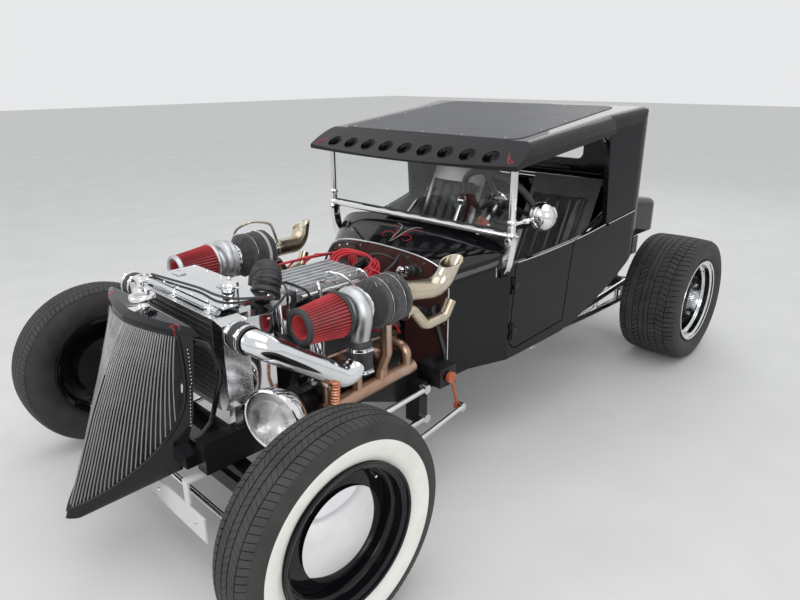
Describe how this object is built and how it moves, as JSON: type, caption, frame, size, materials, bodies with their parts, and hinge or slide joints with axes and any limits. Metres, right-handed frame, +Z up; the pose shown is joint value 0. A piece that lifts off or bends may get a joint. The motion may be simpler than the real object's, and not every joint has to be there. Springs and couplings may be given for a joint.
{
  "type": "hot rod car",
  "caption": "Low home-built coupe on an open frame, with a turbocharged open engine, raked grille, drilled visor, hinged doors, linked steering and turning wheels.",
  "frame": {"origin": "on the ground under the middle of the car's length and width", "axes": "+X to the car's left, +Y to its rear, +Z up"},
  "size_m": [1.6262, 3.1829, 1.2917],
  "materials": {
    "body_paint": "gloss black paint",
    "roof_black": "satin black",
    "frame_black": "gloss black enamel",
    "engine_black": "dark painted castings",
    "bare_steel": "bare steel sheet",
    "exhaust_steel": "stainless tube, straw tinted by heat",
    "polished_tube": "polished",
    "chrome": "bright chrome",
    "aluminium": "brushed aluminium sheet and castings",
    "bar_metal": "dull grey aluminium",
    "arm_copper": "copper coloured paint",
    "blanket": "woven heat blanket",
    "filter_red": "red oiled gauze",
    "wheel_black": "gloss black with bright trim",
    "tyre_rubber": "matt rubber, white band on the front walls",
    "glass": "clear laminated sheet",
    "seat_leather": "black upholstery",
    "black_plastic": "matt black",
    "plate_white": "white, blank"
  },
  "bodies": {
    "chassis": {"frame": "frame_black", "front_axle": "frame_black", "suspension_links": "polished_tube", "rear_axle": "engine_black", "engine": "engine_black", "plenum": "aluminium", "headers": "exhaust_steel", "turbo_housings": "aluminium", "turbo_blankets": "blanket", "air_filters": "filter_red", "exhausts": "exhaust_steel", "charge_pipes": "aluminium", "intercooler": "aluminium", "radiator": "aluminium", "grille_shell": "body_paint", "grille_bars": "bar_metal", "headlamps": "chrome", "licence_plate": "plate_white", "firewall": "body_paint", "body_tub": "body_paint", "roof": "body_paint", "rear_deck": "body_paint", "windscreen_frame": "chrome", "windscreen_glass": "glass", "floor_pan": "bare_steel", "seats": "bare_steel", "seat_pads": "seat_leather", "steering_column": "polished_tube", "gear_lever": "polished_tube", "battery": "aluminium", "steering_box": "engine_black"},
    "door_left": {"door_left": "body_paint"},
    "door_right": {"door_right": "body_paint"},
    "knuckle_left": {"knuckle_left": "frame_black"},
    "knuckle_right": {"knuckle_right": "frame_black"},
    "wheel_front_left": {"wheel_front_left": "wheel_black", "tyre_front_left": "tyre_rubber"},
    "wheel_front_right": {"wheel_front_right": "wheel_black", "tyre_front_right": "tyre_rubber"},
    "wheel_rear_left": {"wheel_rear_left": "wheel_black", "tyre_rear_left": "tyre_rubber"},
    "wheel_rear_right": {"wheel_rear_right": "wheel_black", "tyre_rear_right": "tyre_rubber"},
    "tie_rod": {"tie_rod": "polished_tube"},
    "drag_link": {"drag_link": "polished_tube"},
    "pitman_arm": {"pitman_arm": "arm_copper"},
    "steering_wheel": {"steering_wheel": "black_plastic"}
  },
  "joints": [
    {"name": "door_left_hinge", "type": "hinge", "parent": "chassis", "child": "door_left", "pos_m": [0.49625, -0.0495, 0.56], "axis": [0, 0, -1], "range_deg": [0, 65]},
    {"name": "door_right_hinge", "type": "hinge", "parent": "chassis", "child": "door_right", "pos_m": [-0.49625, -0.0495, 0.56], "axis": [0, 0, 1], "range_deg": [0, 65]},
    {"name": "steer_left", "type": "hinge", "parent": "chassis", "child": "knuckle_left", "pos_m": [0.61, -1.1635, 0.325], "axis": [0, 0, 1], "range_deg": [-25, 25]},
    {"name": "steer_right", "type": "hinge", "parent": "chassis", "child": "knuckle_right", "pos_m": [-0.61, -1.1635, 0.325], "axis": [0, 0, 1], "range_deg": [-25, 25]},
    {"name": "tie_rod_ball", "type": "hinge", "parent": "knuckle_left", "child": "tie_rod", "pos_m": [0.61, -1.2685, 0.205], "axis": [0, 0, 1], "range_deg": [-25, 25]},
    {"name": "drag_link_ball", "type": "hinge", "parent": "knuckle_left", "child": "drag_link", "pos_m": [0.53, -1.0635, 0.185], "axis": [0, 0, 1], "range_deg": [-30, 30]},
    {"name": "pitman_turn", "type": "hinge", "parent": "chassis", "child": "pitman_arm", "pos_m": [0.454, -0.3685, 0.372], "axis": [1, 0, 0], "range_deg": [-15, 15]},
    {"name": "steering_wheel_turn", "type": "hinge", "parent": "chassis", "child": "steering_wheel", "pos_m": [0.265, 0.1445, 0.938], "axis": [0, 0.7839, 0.6209], "range_deg": [-300, 300]},
    {"name": "wheel_front_left_spin", "type": "hinge", "parent": "knuckle_left", "child": "wheel_front_left", "pos_m": [0.734, -1.1635, 0.325], "axis": [1, 0, 0], "continuous": true},
    {"name": "wheel_front_right_spin", "type": "hinge", "parent": "knuckle_right", "child": "wheel_front_right", "pos_m": [-0.734, -1.1635, 0.325], "axis": [1, 0, 0], "continuous": true},
    {"name": "wheel_rear_left_spin", "type": "hinge", "parent": "chassis", "child": "wheel_rear_left", "pos_m": [0.6, 1.2765, 0.315], "axis": [1, 0, 0], "continuous": true},
    {"name": "wheel_rear_right_spin", "type": "hinge", "parent": "chassis", "child": "wheel_rear_right", "pos_m": [-0.6, 1.2765, 0.315], "axis": [1, 0, 0], "continuous": true}
  ],
  "couplings": [
    {"joint": "steer_right", "follows": "steer_left", "ratio": 1},
    {"joint": "tie_rod_ball", "follows": "steer_left", "ratio": -1},
    {"joint": "drag_link_ball", "follows": "steer_left", "ratio": -1.1355},
    {"joint": "pitman_turn", "follows": "steer_left", "ratio": -0.58},
    {"joint": "steering_wheel_turn", "follows": "steer_left", "ratio": 12}
  ]
}
